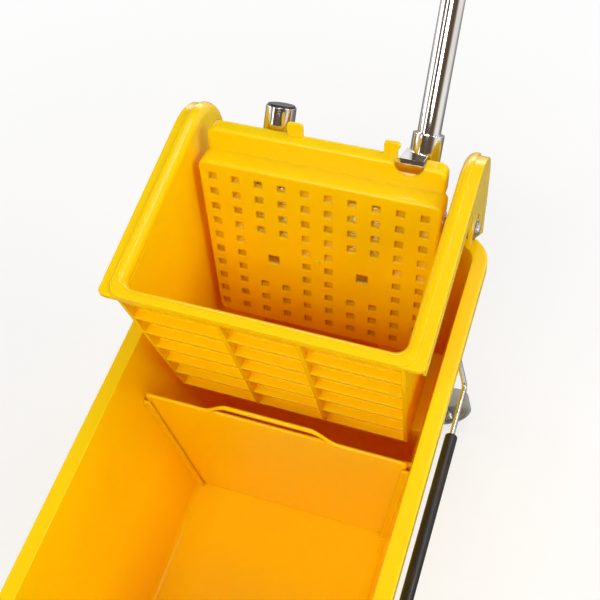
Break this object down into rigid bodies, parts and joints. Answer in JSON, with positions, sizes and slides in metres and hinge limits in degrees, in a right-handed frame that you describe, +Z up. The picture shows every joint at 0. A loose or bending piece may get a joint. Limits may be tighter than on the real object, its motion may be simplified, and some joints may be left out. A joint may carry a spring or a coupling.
{
  "type": "mop bucket with down-press wringer",
  "caption": "Yellow plastic mop bucket on swivel casters with a lift-off lever-operated press wringer, lift-out divider and wire carrying bails.",
  "frame": {"origin": "on the floor under the middle of the tub", "axes": "+X to the right seen from the open end, +Y to the wringer end, +Z up"},
  "size_m": [0.2956, 0.7316, 0.6907],
  "materials": {
    "yellow_plastic": "glossy moulded polypropylene",
    "chrome": "bright plated",
    "zinc_steel": "zinc plated",
    "black_plastic": "satin moulded",
    "black_rubber": "matt ribbed",
    "grey_plastic": "moulded",
    "grey_tyre": "non-marking grey rubber"
  },
  "bodies": {
    "tub": {"tub": "yellow_plastic", "caster_stem_front_left": "zinc_steel", "caster_stem_front_right": "zinc_steel", "caster_stem_rear_left": "zinc_steel", "caster_stem_rear_right": "zinc_steel"},
    "wringer": {"wringer_basket": "yellow_plastic", "pivot_rod": "zinc_steel", "pivot_washers": "zinc_steel", "pivot_nuts": "zinc_steel", "return_spring_right": "zinc_steel", "return_spring_left": "zinc_steel"},
    "press": {"press_plate": "yellow_plastic", "lever_yoke": "chrome", "pivot_bushes": "black_plastic", "handle_tube": "chrome", "handle_grip": "black_rubber", "socket_cap": "black_plastic", "plate_bolts": "zinc_steel", "plate_nuts": "zinc_steel"},
    "divider": {"divider": "yellow_plastic"},
    "bail_right": {"bail_wire_right": "zinc_steel", "bail_grip_right": "black_plastic"},
    "bail_left": {"bail_wire_left": "zinc_steel", "bail_grip_left": "black_plastic"},
    "swivel_front_left": {"caster_fork_front_left": "zinc_steel", "caster_axle_front_left": "zinc_steel"},
    "wheel_front_left": {"caster_hub_front_left": "grey_plastic", "caster_tyre_front_left": "grey_tyre"},
    "swivel_front_right": {"caster_fork_front_right": "zinc_steel", "caster_axle_front_right": "zinc_steel"},
    "wheel_front_right": {"caster_hub_front_right": "grey_plastic", "caster_tyre_front_right": "grey_tyre"},
    "swivel_rear_left": {"caster_fork_rear_left": "zinc_steel", "caster_axle_rear_left": "zinc_steel"},
    "wheel_rear_left": {"caster_hub_rear_left": "grey_plastic", "caster_tyre_rear_left": "grey_tyre"},
    "swivel_rear_right": {"caster_fork_rear_right": "zinc_steel", "caster_axle_rear_right": "zinc_steel"},
    "wheel_rear_right": {"caster_hub_rear_right": "grey_plastic", "caster_tyre_rear_right": "grey_tyre"}
  },
  "joints": [
    {"name": "wringer_lift", "type": "slide", "parent": "tub", "child": "wringer", "axis": [0, 0, 1], "range_m": [0, 0.25]},
    {"name": "press_swing", "type": "hinge", "parent": "wringer", "child": "press", "pos_m": [0, 0.207, 0.342], "axis": [1, 0, 0], "range_deg": [-42, 0], "stiffness_Nm_per_rad": 1.2, "springref_deg": 51.57},
    {"name": "divider_lift", "type": "slide", "parent": "tub", "child": "divider", "axis": [0, 0, 1], "range_m": [0, 0.25]},
    {"name": "bail_swing_right", "type": "hinge", "parent": "tub", "child": "bail_right", "pos_m": [0.12711, 0, 0.262], "axis": [0, -1, 0], "range_deg": [-20, 105]},
    {"name": "bail_swing_left", "type": "hinge", "parent": "tub", "child": "bail_left", "pos_m": [-0.12711, 0, 0.262], "axis": [0, 1, 0], "range_deg": [-20, 105]},
    {"name": "swivel_front_left", "type": "hinge", "parent": "tub", "child": "swivel_front_left", "pos_m": [-0.098, -0.198, 0], "axis": [0, 0, 1], "continuous": true},
    {"name": "spin_front_left", "type": "hinge", "parent": "swivel_front_left", "child": "wheel_front_left", "pos_m": [-0.08156, -0.19068, 0.025], "axis": [-0.4067, 0.9135, 0], "continuous": true},
    {"name": "swivel_front_right", "type": "hinge", "parent": "tub", "child": "swivel_front_right", "pos_m": [0.098, -0.198, 0], "axis": [0, 0, 1], "continuous": true},
    {"name": "spin_front_right", "type": "hinge", "parent": "swivel_front_right", "child": "wheel_front_right", "pos_m": [0.11444, -0.19068, 0.025], "axis": [-0.4067, 0.9135, 0], "continuous": true},
    {"name": "swivel_rear_left", "type": "hinge", "parent": "tub", "child": "swivel_rear_left", "pos_m": [-0.098, 0.198, 0], "axis": [0, 0, 1], "continuous": true},
    {"name": "spin_rear_left", "type": "hinge", "parent": "swivel_rear_left", "child": "wheel_rear_left", "pos_m": [-0.08156, 0.20532, 0.025], "axis": [-0.4067, 0.9135, 0], "continuous": true},
    {"name": "swivel_rear_right", "type": "hinge", "parent": "tub", "child": "swivel_rear_right", "pos_m": [0.098, 0.198, 0], "axis": [0, 0, 1], "continuous": true},
    {"name": "spin_rear_right", "type": "hinge", "parent": "swivel_rear_right", "child": "wheel_rear_right", "pos_m": [0.11444, 0.20532, 0.025], "axis": [-0.4067, 0.9135, 0], "continuous": true}
  ]
}
